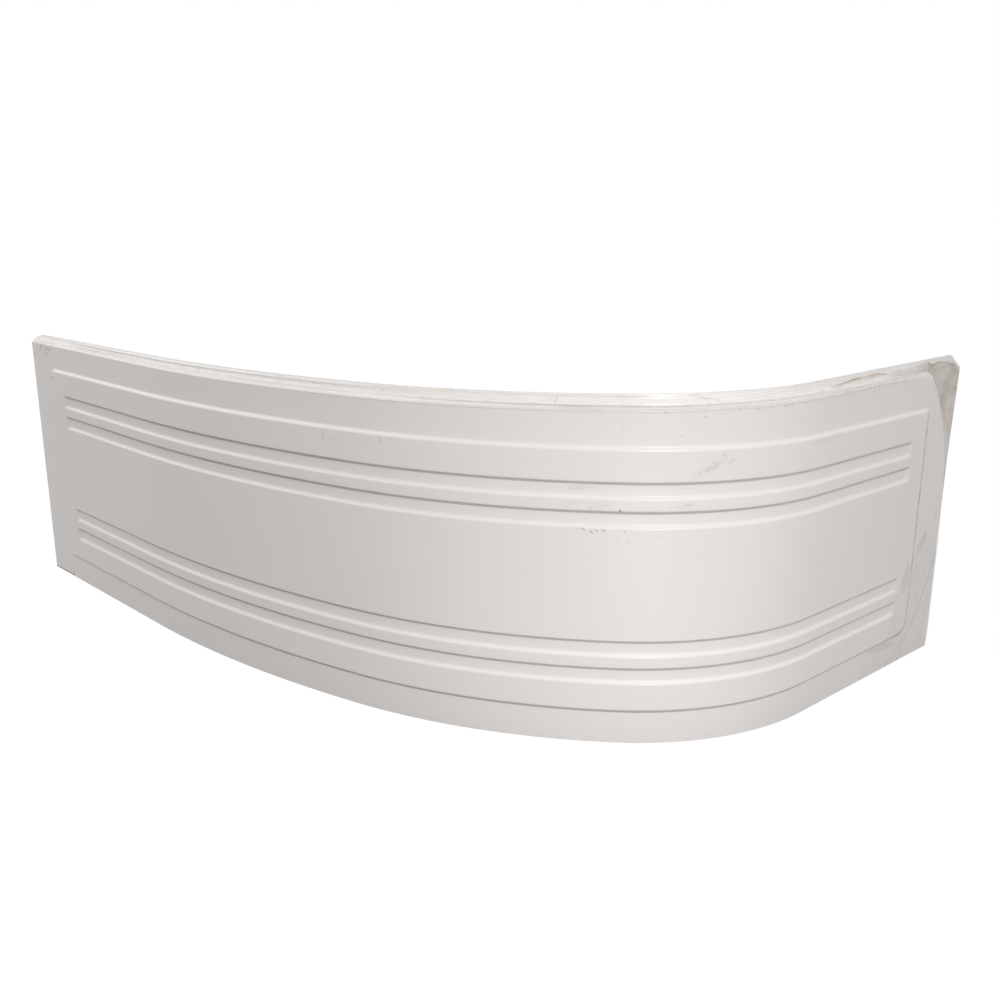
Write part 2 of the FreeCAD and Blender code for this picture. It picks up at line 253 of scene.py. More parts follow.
for vert in corner:
    if isinstance(vert, bmesh.types.BMVert):
        vert.co = (TOTAL_RUN - BRIM_CORNER_RUN, LEDGE_DEPTH, TOP_HEIGHT)

rounded(skin, front_edges, EDGE_ROUND, 6)
foot_edges = [edge for edge in skin.edges if set(edge.verts) <= foot]
rounded(skin, foot_edges, FOOT_ROUND, 3)
brim_foot = max([vert for vert in skin.verts if vert.co.z < TINY], key=lambda vert: vert.co.x)
rounded(skin, [brim_foot], BRIM_FOOT_ROUND, 5, "VERTICES")

# raised field, and the grooves sunk back into it
border = max(skin.faces, key=lambda face: face.calc_area())
middle_run, middle_height = sum(FIELD_ENDS) / 2, sum(FIELD_LEVELS) / 2
flat_faces(skin, flat_faces(skin, [border], RUN, FIELD_ENDS), HEIGHT, FIELD_LEVELS)
field = face_at(skin, middle_run, middle_height)
sloped_step(skin, field, FIELD_RISE, FIELD_CORNER, FIELD_LOW_CORNER)
field = face_at(skin, middle_run, middle_height)
groove_levels = [middle + side * GROOVE_HALF for middle in GROOVE_MIDDLES for side in (-1, 1)]
flat_faces(skin, flat_faces(skin, [field], RUN, GROOVE_ENDS), HEIGHT, groove_levels)
groove_reach = (GROOVE_ENDS[1] - GROOVE_ENDS[0]) / 2
for middle in GROOVE_MIDDLES:
    groove = face_at(skin, middle_run, middle)
    sloped_step(skin, groove, -FIELD_RISE, GROOVE_CORNER, GROOVE_CORNER)
    for vert in face_at(skin, middle_run, middle).verts:
        if abs(vert.co.x - middle_run) > groove_reach - GROOVE_END_ZONE:
            vert.co.x += GROOVE_END_EASE[vert.co.x > middle_run]
relief_edges = [
    edge for edge in skin.edges
    if len(edge.link_faces) == 2 and edge.calc_face_angle() > math.radians(20)
    and max(v.co.y for v in edge.verts) < NEAR
    and abs(edge.verts[0].co.y - edge.verts[1].co.y) < TINY
]
rounded(skin, relief_edges, SOFT_EDGE, 3, slide=True)

# stations across the run, so that the flat sheet can take the plan's bends
for number in range(1, int(TOTAL_RUN / STATION)):
    flat_faces(skin, list(skin.faces), RUN, [number * STATION])

bmesh.ops.remove_doubles(skin, verts=skin.verts, dist=NEAR)

# each point keeps its place on the flat sheet, its way out and its height over the ledge,
# which the finish is drawn by
place = skin.verts.layers.float_vector.new("place")
outward = skin.verts.layers.float_vector.new("outward")
lip = skin.verts.layers.float.new("lip")
for vert in skin.verts:
    run, out, height = vert.co.x, -vert.co.y, vert.co.z
    over_round = height - FACE_HEIGHT
    if -EDGE_ROUND - NEAR < min(out, over_round) and max(out, over_round) < NEAR:
        nearer = (run - TOP_ROUND_RUNS[0]) / (TOP_ROUND_RUNS[1] - TOP_ROUND_RUNS[0])
        tight = TOP_ROUND_SHARE + (1 - TOP_ROUND_SHARE) * clamp(nearer)
        out, height = out * tight, FACE_HEIGHT + over_round * tight
    vert.co = formed(run, out, height)
    vert[place] = (run, out, vert.co.z)
    vert[outward] = bent(run, 1, 0) - bent(run, 0, 0)
    vert[lip] = height - FACE_HEIGHT
bmesh.ops.recalc_face_normals(skin, faces=skin.faces)
if max(skin.faces, key=lambda face: face.calc_area()).normal.y > 0:
    bmesh.ops.reverse_faces(skin, faces=skin.faces)
for face in skin.faces:
    face.smooth = True
panel = finished("panel_sheet", skin)
wall = panel.modifiers.new("wall", "SOLIDIFY")
wall.thickness = SHEET_THICKNESS
wall.offset = -1
wall.use_even_offset = True
wall.use_quality_normals = True
shading = panel.modifiers.new("shading", "WEIGHTED_NORMAL")
shading.keep_sharp = True
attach(panel, "root")
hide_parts("bath_panel")


class Signal:
    """A value in a material's nodes, so that a pattern is written as a sum or a product."""

    def __init__(self, socket):
        self.socket = socket

    @classmethod
    def node(cls, tree, kind, settings=None, inputs=None, output=0):
        made = tree.nodes.new(kind)
        for name, setting in (settings or {}).items():
            if name == "stops":
                stops = made.color_ramp.elements
                for index, (position, colour) in enumerate(setting):
                    stop = stops[index] if index < 2 else stops.new(position)
                    stop.position, stop.color = position, colour
            else:
                setattr(made, name, setting)
        for name, given in (inputs or {}).items():
            if isinstance(given, Signal):
                tree.links.new(given.socket, made.inputs[name])
            else:
                made.inputs[name].default_value = given
        return cls(made.outputs[output]) if made.outputs else None

    def math(self, operation, *values):
        settings = {"operation": operation}
        return self.node(self.socket.id_data, "ShaderNodeMath", settings, dict(enumerate(values)))

    def __add__(self, other):
        return self.math("ADD", self, other)

    def __sub__(self, other):
        return self.math("SUBTRACT", self, other)

    def __rsub__(self, other):
        return self.math("SUBTRACT", other, self)

    def __mul__(self, other):
        return self.math("MULTIPLY", self, other)

    __radd__, __rmul__ = __add__, __mul__

    def at_least(self, other):
        return self.math("MAXIMUM", self, other)


def attribute(tree, name, output="Fac"):
    """A value that the mesh carries at each point."""
    return Signal.node(tree, "ShaderNodeAttribute", {"attribute_name": name}, output=output)


def between(value, low, high):
    """Rises softly from 0 at low to 1 at high, or falls where high is the smaller."""
    settings = {"interpolation_type": "SMOOTHSTEP"}
    inputs = {"Value": value, "From Min": low, "From Max": high}
    return Signal.node(value.socket.id_data, "ShaderNodeMapRange", settings, inputs)


def speckle(place, scale, detail=4, stretch=(1, 1, 1)):
    """Cloudy noise that follows the sheet, stretched along its run or its height."""
    tree = place.socket.id_data
    inputs = {"Vector": place, "Scale": stretch}
    scaled = Signal.node(tree, "ShaderNodeMapping", {"vector_type": "POINT"}, inputs)
    inputs = {"Vector": scaled, "Scale": scale, "Detail": detail}
    return Signal.node(tree, "ShaderNodeTexNoise", None, inputs)


def patch(place, run, height, half_run, half_height, lean=0, soft=0.2):
    """1 inside an oval on the sheet, fading to 0 at its edge. The lean turns it up at the right."""
    tree = place.socket.id_data
    inputs = {
        "Vector": place,
        "Location": (run, 0, height),
        "Rotation": (0, -math.radians(lean), 0),
        "Scale": (half_run, 1000, half_height),
    }
    oval = Signal.node(tree, "ShaderNodeMapping", {"vector_type": "TEXTURE"}, inputs)
    settings = {"operation": "LENGTH"}
    reach = Signal.node(tree, "ShaderNodeVectorMath", settings, {0: oval}, output="Value")
    return between(reach, 1, soft)


def blend(share, under, over):
    """Colour between two colours, by a share from 0 to 1."""
    tree = share.socket.id_data
    settings = {"data_type": "RGBA"}
    return Signal.node(tree, "ShaderNodeMix", settings, {0: share, 6: under, 7: over}, output=2)


def largest(*masks):
    """The strongest of several masks at each place."""
    found = masks[0]
    for mask in masks[1:]:
        found = found.at_least(mask)
    return found


def ovals(place, soft, *listed):
    """The strongest of several ovals.

    Each has a run, a height, half its length and its height, a lean and a strength.
    """
    return largest(*[patch(place, *oval, soft) * strength for *oval, strength in listed])


SHEET_WHITE = (0.812, 0.775, 0.75, 1)
SHEET_SHADE = (0.777, 0.738, 0.712, 1)
# the brown colours real dirt and also painted shade; the grey colours only painted shade
DIRT_AND_SHADE_BROWN = (0.33, 0.26, 0.18, 1)
SHADE_GREY = (0.50, 0.47, 0.44, 1)
SMEAR_BROWN = (0.45, 0.40, 0.34, 1)
STAIN_YELLOW = (0.74, 0.63, 0.42, 1)
CHIP_RED = (0.22, 0.10, 0.07, 1)
NICK_WHITE = (0.93, 0.92, 0.91, 1)

white_sheet = bpy.data.materials.new("white_sheet")
white_sheet.use_nodes = True
panel.data.materials.append(white_sheet)
tree = white_sheet.node_tree
gloss = tree.nodes["Principled BSDF"]
place = attribute(tree, "place", "Vector")
run, out, height = [
    Signal.node(tree, "ShaderNodeSeparateXYZ", None, {0: place}, output=axis) for axis in range(3)
]
lip = attribute(tree, "lip")

# faint clouding of the sheet, grime specks along its top edge, and painted shade in the ledge's
# inner corner, on the rounded top edge and on down-facing walls
clouds = speckle(place, 3, 3)
fine = speckle(place, 90, 6)
grit = speckle(place, 170, 5)
grain = speckle(place, 420, 3)
plain = blend(between(clouds, 0.2, 0.9) * 0.5, SHEET_WHITE, SHEET_SHADE)
edge_line = between(lip, -0.0085, -0.0045) * between(lip, 0.001, -0.001)
edge_grime = edge_line * between(grit, 0.57, 0.68) * (0.12 + 0.88 * between(run, 1.30, 1.60))
# painted shade: grey darkening along the inner corner between the ledge and the upstand
inner_line = between(lip, -0.003, -0.001) * between(lip, 0.006, 0.001)
inner_line = inner_line * between(out, -0.0175, -0.0205)
inner_painted_shade = inner_line * (0.35 + 0.5 * between(fine, 0.4, 0.65))
# painted shade: grey darkening of the up-facing rounded top edge of the face, stronger away from the
# far end
round_line = between(lip, -0.0060, -0.0025) * between(lip, 0.002, -0.0005)
round_line = round_line * between(out, -0.008, -0.006)
round_painted_shade = round_line * (0.10 + 0.25 * between(run, 0.70, 1.20))
facing = Signal.node(tree, "ShaderNodeNewGeometry", output="Normal")
upward = Signal.node(tree, "ShaderNodeSeparateXYZ", None, {0: facing}, output=2)
settings = {"operation": "DOT_PRODUCT"}
inputs = {0: facing, 1: attribute(tree, "outward", "Vector")}
front = Signal.node(tree, "ShaderNodeVectorMath", settings, inputs, output="Value")
front = between(front, -0.4, -0.2)
# painted shade: brown darkening on walls that face downwards, stronger towards the far end
under_painted_shade = between(upward, -0.15, -0.50) * (0.28 + 0.34 * between(run, 1.30, 0.60))

# painted shade: dark line round the right end of the field and its large lower corner
CORNER_REACH = 0.028
past_end = (run - (FIELD_ENDS[1] - CORNER_REACH)).at_least(0)
past_low = (FIELD_LEVELS[0] + CORNER_REACH - height).at_least(0)
squared = past_end * past_end + past_low * past_low
past_edge = squared.math("POWER", squared, 0.5)
end_step = between(past_edge, CORNER_REACH - 0.0115, CORNER_REACH - 0.0075)
end_step = end_step * between(height, 0.470, 0.455) * between(out, 0.001, 0.003)
end_painted_shade = end_step * between(run, FIELD_ENDS[1] - 0.06, FIELD_ENDS[1] - 0.02)
end_painted_shade = end_painted_shade * (0.55 + 0.45 * between(fine, 0.42, 0.62))

# scuffs and smears from handling, strongest on the bend
streaks = speckle(place, 26, 8, (1, 1, 3.2))
smears = ovals(
    place, 0.2,
    (1.647, 0.437, 0.052, 0.011, 34, 1),
    (1.675, 0.442, 0.010, 0.004, 35, 0.8),
    (1.715, 0.417, 0.034, 0.007, 8, 0.8),
    (1.455, 0.402, 0.045, 0.007, 0, 0.7),
    (1.480, 0.376, 0.060, 0.010, -4, 0.9),
    (1.603, 0.378, 0.030, 0.007, 12, 0.9),
    (1.870, 0.456, 0.060, 0.007, 4, 0.7),
    (1.565, 0.330, 0.018, 0.010, 40, 0.6),
)
smear = smears * between(streaks, 0.44, 0.58) * (0.35 + 0.65 * between(grit, 0.44, 0.58))
on_edge = ovals(
    place, 0.3,
    (1.450, 0.5185, 0.055, 0.0030, 0, 1),
    (1.530, 0.5205, 0.050, 0.0022, 0, 0.6),
)
at_end = ovals(
    place, 0.1,
    (2.274, 0.2600, 0.008, 0.028, -8, 0.5),
    (2.266, 0.0240, 0.016, 0.020, 0, 0.35),
)
brown_smear = largest(on_edge, at_end) * (0.4 + 0.6 * between(streaks, 0.42, 0.60))
stain = ovals(
    place, 0.2,
    (2.268, 0.292, 0.005, 0.006, 0, 1),
    (2.242, 0.246, 0.005, 0.005, 0, 1),
)
inputs = {"Vector": place, "Scale": 210, "Randomness": 1}
dots = between(Signal.node(tree, "ShaderNodeTexVoronoi", None, inputs), 0.36, 0.2)
specks = largest(
    patch(place, 0.075, 0.502, 0.055, 0.018, soft=0.4) * between(fine, 0.44, 0.54),
    patch(place, 1.980, 0.514, 0.150, 0.006, soft=0.4) * between(fine, 0.50, 0.58) * 0.6,
) * dots
dabs = ovals(
    place, 0.3,
    (0.0466, 0.5075, 0.0075, 0.0028, -35, 1),
    (0.0552, 0.5059, 0.0035, 0.0022, 0, 1),
    (0.0752, 0.5042, 0.0050, 0.0026, -40, 1),
    (0.0893, 0.5020, 0.0045, 0.0030, 30, 1),
    (0.1062, 0.5069, 0.0040, 0.0020, 30, 0.7),
    (0.0752, 0.4934, 0.0048, 0.0026, 20, 1),
    (0.0862, 0.4806, 0.0032, 0.0024, 0, 1),
    (0.0045, 0.4845, 0.0050, 0.0034, 0, 0.8),
    (0.1085, 0.4451, 0.0050, 0.0030, -45, 1),
)
flecks = ovals(
    place, 0.4,
    (1.514, 0.371, 0.0028, 0.0026, 0, 1),
    (1.559, 0.369, 0.0018, 0.0016, 0, 0.7),
    (1.599, 0.481, 0.0014, 0.0018, 0, 0.5),
    (1.633, 0.5074, 0.0030, 0.0012, 0, 0.6),
)
marks = largest(specks, dabs, flecks) * 0.85
scrapes = ovals(
    place, 0.3,
    (1.4516, 0.3426, 0.0060, 0.0015, -10, 0.5),
    (1.4612, 0.3417, 0.0062, 0.0017, -30, 1),
    (1.4735, 0.3380, 0.0055, 0.0019, -40, 1),
    (1.4805, 0.3408, 0.0045, 0.0017, -25, 1),
    (1.4906, 0.3407, 0.0060, 0.0017, -30, 1),
    (1.5095, 0.3247, 0.0032, 0.0014, -30, 0.5),
    (1.5212, 0.3404, 0.0050, 0.0014, -35, 0.7),
    (1.5281, 0.3248, 0.0032, 0.0014, -30, 0.5),
) * 0.6
hairs = ovals(
    place, 0.3,
    (1.028, 0.449, 0.0008, 0.0075, 12, 1),
    (1.050, 0.446, 0.0008, 0.0050, 20, 1),
    (1.141, 0.453, 0.0008, 0.0080, 24, 1),
    (1.513, 0.4965, 0.0007, 0.0150, 9, 0.45),
    (1.656, 0.5112, 0.0200, 0.0006, 6, 0.4),
) * 0.6

# lower far corner, where the edge is chipped
chip_run = between(run, 0.104, 0.092)
cracks = ovals(
    place, 0.4,
    (0.097, 0.0080, 0.0022, 0.0110, -8, 1),
    (0.084, 0.0110, 0.0020, 0.0070, 10, 0.6),
    (0.074, 0.0060, 0.0050, 0.0020, -25, 0.7),
)
chipped = chip_run * between(height, 0.0046, 0.0012) + 0.7 * cracks
nicks = ovals(
    place, 0.4,
    (0.104, 0.0055, 0.0045, 0.0028, 0, 1),
    (0.410, 0.476, 0.0040, 0.0022, 0, 1),
)

colour = blend(smear * 0.36, plain, SMEAR_BROWN)
colour = blend(stain * 0.45, colour, STAIN_YELLOW)
colour = blend(largest(edge_grime * 0.55, brown_smear * 0.4), colour, DIRT_AND_SHADE_BROWN)
# painted shade: the field's right end line, the ledge's inner corner, the edge round and the
# down-facing walls
colour = blend(end_painted_shade * 0.85, colour, DIRT_AND_SHADE_BROWN)
colour = blend(largest(inner_painted_shade * 0.6, round_painted_shade), colour, SHADE_GREY)
colour = blend(under_painted_shade, colour, DIRT_AND_SHADE_BROWN)
colour = blend(largest(marks, scrapes, hairs), colour, DIRT_AND_SHADE_BROWN)
colour = blend(chipped.math("MINIMUM", chipped, 1), colour, CHIP_RED)
colour = blend(nicks, colour, NICK_WHITE)
colour = blend(front, plain, colour)
tree.links.new(colour.socket, gloss.inputs["Base Color"])
rough = 0.30 + 0.25 * front * largest(smear, marks, edge_grime)
tree.links.new(rough.socket, gloss.inputs["Roughness"])
inputs = {"Strength": 0.05, "Distance": 0.0006, "Height": grain}
peel = Signal.node(tree, "ShaderNodeBump", None, inputs)
tree.links.new(peel.socket, gloss.inputs["Normal"])

# Protective film: thin clear plastic, still clinging to the sheet in three pieces: along the ledge
# and the upstand, over the brim, and on the lower right corner of the face. It has come loose and
# torn in places, and dust has settled along its creases and edges. Along the ledge it also carries
# painted shade at its foot in the inner corner, painted shadow under its torn edge, and painted
# highlights and dark reflections on its wrinkles.
FILM_THICKNESS = 0.00012
FILM_GAP = 0.0006


def along(points, run):
    """Height or share at a run, on a line through given points."""
    for (near, low), (far, high) in zip(points, points[1:]):
        if run <= far:
            return low + (high - low) * max(run - near, 0) / (far - near)
    return points[-1][1]


def film_piece(name, columns, rows, lie):
    """Lays a grid of film on the panel. The lie gives each point's place, its cover, and its soil
    together with any painted shade.
    """
    film = bmesh.new()
    bmesh.ops.create_grid(film, x_segments=columns, y_segments=rows, size=0.5)
    place = film.verts.layers.float_vector.new("place")
    cover = film.verts.layers.float.new("cover")
    soil_and_shade = film.verts.layers.float.new("soil_and_shade")
    for vert in film.verts:
        (run, out, height), vert[cover], vert[soil_and_shade] = lie(vert.co.x + 0.5, vert.co.y + 0.5)
        vert[place] = (run, out, height)
        vert.co = bent(run, out, height)
    bmesh.ops.recalc_face_normals(film, faces=film.faces)
    for face in film.faces:
        face.smooth = True
    piece = finished(name, film)
    piece.data.materials.append(clear_film)
    body = piece.modifiers.new("film", "SOLIDIFY")
    body.thickness = FILM_THICKNESS
    body.offset = 0
    piece.visible_shadow = False
    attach(piece, "root")
    return piece


def wave(run, across, seed, fineness=1):
    """Smooth wrinkle height, from -1 to 1."""
    return noise.noise(Vector((run * 14 * fineness, across * 2.2 * fineness, seed)))


def lip_levels(run):
    """Heights of the ledge and of the upstand's trimmed edge."""
    ledge = formed(min(run, CORNER_RUN), -0.012, FACE_HEIGHT).z
    return ledge, formed(run, -LEDGE_DEPTH, TOP_HEIGHT).z


FILM_WHITE = (0.86, 0.85, 0.84, 1)
FILM_SOIL_AND_SHADE = (0.42, 0.33, 0.22, 1)
CROSS_CREASES = [(1.130, 0.5), (1.315, 0.35), (1.415, 0.8)]
clear_film = bpy.data.materials.new("clear_film")
clear_film.use_nodes = True
tree = clear_film.node_tree
plastic = tree.nodes["Principled BSDF"]
plastic.inputs["Roughness"].default_value = 0.24
place = attribute(tree, "place", "Vector")
cover, soil_and_shade = attribute(tree, "cover"), attribute(tree, "soil_and_shade")
mottle = between(speckle(place, 34, 3), 0.30, 0.70)
upright = [
    patch(place, run, sum(lip_levels(run)) / 2, 0.0014, 0.0105, lean=-16, soft=0.3) * share
    for run, share in CROSS_CREASES
]
slanting = patch(place, 1.640, 0.5303, 0.0210, 0.0011, lean=-7, soft=0.3) * 0.8
loop = patch(place, 1.661, 0.5268, 0.0022, 0.0036, soft=0.3) * 0.7
crossings = largest(*upright, slanting, loop)
clings = ovals(
    place, 0,
    (2.172, 0.158, 0.0210, 0.0440, -12, 1),
    (2.231, 0.217, 0.0210, 0.0350, -40, 1),
    (2.118, 0.043, 0.0760, 0.0110, -6, 1),
)
clings = between(clings + 1.1 * (speckle(place, 46, 3) - 0.5), 0.36, 0.44)
# the soil share also carries painted shade at the lip film's foot, painted shadow under its tear and
# painted dark reflection in its wrinkle troughs
soil_and_shade_share = largest(soil_and_shade, crossings, clings * 0.7)
tree.links.new(blend(soil_and_shade_share, FILM_WHITE, FILM_SOIL_AND_SHADE).socket, plastic.inputs["Base Color"])
patchy = 0.9 + 0.2 * mottle + 0.9 * soil_and_shade * (mottle - 0.5)
hidden = largest(cover * patchy, crossings * 0.4, clings * 0.10)
tree.links.new(hidden.socket, plastic.inputs["Alpha"])

# film along the ledge and the upstand, torn towards the right, where its edge hangs forward
LIP_START, LIP_END = 0.001, 2.224
LIP_EDGE = [
    (1.890, 0.5400), (1.910, 0.5294), (1.938, 0.5314), (1.970, 0.5351), (2.011, 0.5356),
    (2.041, 0.5372), (2.077, 0.5330), (2.088, 0.5262), (2.096, 0.5345), (2.155, 0.5352),
    (2.193, 0.5375), (LIP_END, 0.5402),
]
LIP_FRONT = [
    (0, -0.0035), (0.95, -0.0035), (1.15, -0.0180), (1.80, -0.0180), (1.93, -0.0060),
    (2.165, -0.0060), (2.200, -0.0200),
]
LIP_LOOSE_RUN = 0.11
LIP_TORN = [(1.89, 0), (1.92, 1), (2.09, 1), (2.10, 0.2)]
LIP_HUGGING = [(1.05, 0), (1.20, 1), (1.80, 1), (1.92, 0)]
LIP_ROLLED = [(0.10, 0), (0.25, 1), (1.00, 1), (1.25, 0)]
LIP_WRINKLED = [(0, 1), (0.9, 1), (1.15, 0.1), (1.85, 0.1), (1.95, 0.8), (2.2, 0.5)]
LIP_DRAWN = [(0, 0.57), (0.95, 0.95), (LIP_END, LIP_END)]
LIP_FINENESS = [(0.95, 0.45), (1.15, 1)]
LIP_COVER = [
    (0, 0.75), (0.06, 0.6), (0.12, 0.34), (1.0, 0.36), (1.15, 0.42), (2.085, 0.40), (2.10, 0.16),
]
LIP_EVEN = [(2.09, 0), (2.11, 1)]
LIP_BANDS = [
    (0, 0.35), (0.20, 0.40), (0.34, 0.9), (0.48, 1.25), (0.62, 0.8), (0.80, 0.15), (0.92, 0.15),
    (1, 0.5),
]
LIP_SOIL = [(0, 0.35), (0.05, 0.06), (0.12, 0), (2.07, 0), (2.11, 0.5), (LIP_END, 0.7)]
TOP_DUST = [
    (0.2, 0.1), (1.05, 0.25), (1.40, 0.45), (1.50, 0.8), (1.54, 0.7), (1.57, 0.15), (1.59, 0.5),
    (1.63, 0.6), (1.66, 0.1), (1.9, 0.2), (2.09, 0.2), (2.11, 0.7),
]
# strength of the painted shade at the film's foot in the inner corner, by run
FOOT_SHADE = [(1.0, 0), (1.15, 0.7), (1.40, 0.9), (1.70, 0.9), (1.80, 0.6), (1.93, 0)]


def band(across, middle, half_width):
    """1 in the middle of a strip along the film, falling to 0 at its sides."""
    return max(0, 1 - abs(across - middle) / half_width)


def lip_lie(share, across):
    run = LIP_START + share * (LIP_END - LIP_START)
    ledge, rim = lip_levels(run)
    rim -= 0.0008
    if run > LIP_EDGE[0][0]:
        rim = min(rim, along(LIP_EDGE, run))
    loose = max(0, 1 - run / LIP_LOOSE_RUN)
    torn = along(LIP_TORN, run)
    start = Vector((along(LIP_FRONT, run), ledge + FILM_GAP))
    finish = Vector((-LEDGE_DEPTH + FILM_GAP + 0.0030 * torn, rim))
    fold = Vector((-LEDGE_DEPTH + 0.0035 - 0.0017 * along(LIP_HUGGING, run), ledge + 0.0012))
    fold = fold.lerp((start + finish) / 2 + Vector((0.002, 0.002)), loose)
    spot = start.lerp(fold, across).lerp(fold.lerp(finish, across), across)

    # wrinkles, drawn out at the far end, where the film also rolls forward under the rim
    wrinkled, rolled = along(LIP_WRINKLED, run), along(LIP_ROLLED, run)
    drawn = along(LIP_DRAWN, run)
    long_wave = wave(drawn * 0.45, across * 1.6, 3.1)
    streak = wave(drawn * 0.7, across * 3.6 * along(LIP_FINENESS, run), 8.7)
    roll = band(across, 0.86, 0.14)
    spot.x += 0.0035 * rolled * roll * roll * (3 - 2 * roll)
    free = across * (1 - across) * 4
    lift = wrinkled * free * (0.0010 * long_wave + 0.0004 * streak + 0.0009)
    spot += Vector((0.7, 0.7)) * lift
    spot.y = min(spot.y, rim)

    # bands of cover and a bare strip under the roll; dust with painted dark reflection in the
    # wrinkle troughs and painted highlight on their crests; dust and painted shadow along the tear;
    # painted shade at the foot in the inner corner; dust along the top
    bands = along(LIP_BANDS, across)
    even = max(loose, torn, along(LIP_EVEN, run))
    cover = along(LIP_COVER, run) * (bands + (1 - bands) * even)
    # painted highlight: the film is denser and whiter on the wrinkle crests
    cover *= 1 + wrinkled * (0.4 * streak - 0.2 * max(0, long_wave))
    cover *= 1 - 0.7 * rolled * band(across, 0.70, 0.10)
    cover = max(cover, 0.7 * rolled * clamp((across - 0.80) / 0.06))
    # dust and painted dark reflection in the wrinkle troughs
    soil_and_shade = along(LIP_SOIL, run) + 0.12 * wrinkled * max(0, -streak)
    grubby = 0.5 + 0.9 * wave(run * 0.5, 0, 6.6)
    top_line = band(across, 0.92, 0.08) * along(TOP_DUST, run) * max(grubby, 0.4)
    # painted shade: a darker brown line at the film's foot in the inner corner
    foot_shade_line = band(across, 0.20, 0.16) * along(FOOT_SHADE, run) * clamp(grubby, 0.5)
    # dust and painted shadow under the lifted torn edge
    tear_dust_and_shadow = torn * max(1.3 * (across - 0.80) / 0.20, 0.6 * (across - 0.55) / 0.45, 0)
    line = clamp(max(top_line, tear_dust_and_shadow))
    cover = max(cover * (1 - 0.5 * foot_shade_line), 0.55 * line, 0.22 * foot_shade_line)
    return (run, spot.x, spot.y), cover, max(soil_and_shade, line, foot_shade_line)


lip_film = film_piece("lip_film", 560, 28, lip_lie)

# film over the upper brim, brown with dust, up to a wavy edge under the cut corner
BRIM_FILM_LEVELS = (0.190, 0.5335)
BRIM_FILM_MARGIN = 0.0012
BRIM_WAVY_FROM = 0.505
BRIM_FILM_EDGE = [
    (2.226, 0.5390), (2.2386, 0.5332), (2.252, 0.5360), (2.268, 0.5377), (2.300, 0.5330),
    (2.3245, 0.5283), (2.35, 0.5215),
]
BRIM_DUST = [
    (0.19, 0.03), (0.24, 0.08), (0.28, 0.08), (0.32, 0.05), (0.38, 0.05), (0.42, 0.085),
    (0.455, 0.15), (0.49, 0.20), (0.512, 0.20), (0.525, 0.13), (0.54, 0.10),
]
BRIM_DUSTY = [(0.30, 0.2), (0.42, 1)]
BRIM_SOIL = [(0.19, 0.6), (0.36, 0.75), (0.45, 0.9), (0.54, 0.85)]
BRIM_FOLDS = [
    ((2.239, 0.525), (2.270, 0.521), 0.7),
    ((2.250, 0.518), (2.298, 0.457), 0.7),
    ((2.298, 0.457), (2.333, 0.401), 0.6),
    ((2.279, 0.519), (2.325, 0.501), 0.55),
    ((2.325, 0.501), (2.325, 0.484), 0.5),
    ((2.298, 0.473), (2.327, 0.442), 0.45),
]
FOLD_WIDTH = 0.0024


def fold_ridge(folds, run, height):
    """Strength of the nearest of given fold lines, falling to 0 beside it."""
    ridge = 0
    for (run_a, low_a), (run_b, low_b), strength in folds:
        fold = Vector((run_b - run_a, low_b - low_a))
        reach = clamp(Vector((run - run_a, height - low_a)).dot(fold) / fold.length_squared)
        apart = (Vector((run_a, low_a)) + fold * reach - Vector((run, height))).length
        ridge = max(ridge, strength * math.exp(-((apart / FOLD_WIDTH) ** 2)))
    return ridge


def brim_lie(across, share):
    low, high = BRIM_FILM_LEVELS
    height = low + share * (high - low)
    rise = clamp(height - BOW_START, 0, BOW_RADIUS * math.sin(BOW_TURN))
    bow_run = BOW_MIDDLE + math.sqrt(BOW_RADIUS ** 2 - rise ** 2)
    left = max(bow_run, LIP_END + BRIM_FILM_MARGIN) + BRIM_FILM_MARGIN
    right = brim_edge(height) - BRIM_FILM_MARGIN
    run = left + across * (right - left)
    upper = max(height - BRIM_WAVY_FROM, 0) / (high - BRIM_WAVY_FROM)
    height += upper * (along(BRIM_FILM_EDGE, run) - high)
    free = across * (1 - across) * 4
    dusty = along(BRIM_DUSTY, height)
    lean_wave = wave(run * 2.4 + height * 0.8, height * 3.0, 12.3)
    fine_wave = wave(run * 2, height * 22, 4.4, 1.3)
    ridge = fold_ridge(BRIM_FOLDS, run, height)
    lift = free * dusty * (0.0016 * lean_wave + 0.0004 * fine_wave + 0.0012) + 0.0012 * ridge
    clear = math.exp(-((run - 2.300) / 0.020) ** 2 - ((height - 0.511) / 0.010) ** 2)
    cover = along(BRIM_DUST, height) * (1 + 0.4 * dusty * lean_wave) * (1 - 0.25 * clear)
    edge = max(0, (share - 0.978) / 0.022)
    cover, soil_and_shade = max(cover, 0.5 * edge, 0.30 * ridge), max(along(BRIM_SOIL, height), edge)
    return (run, -LEDGE_DEPTH + FILM_GAP + max(lift, 0), height), cover, soil_and_shade


brim_film = film_piece("brim_film", 40, 160, brim_lie)

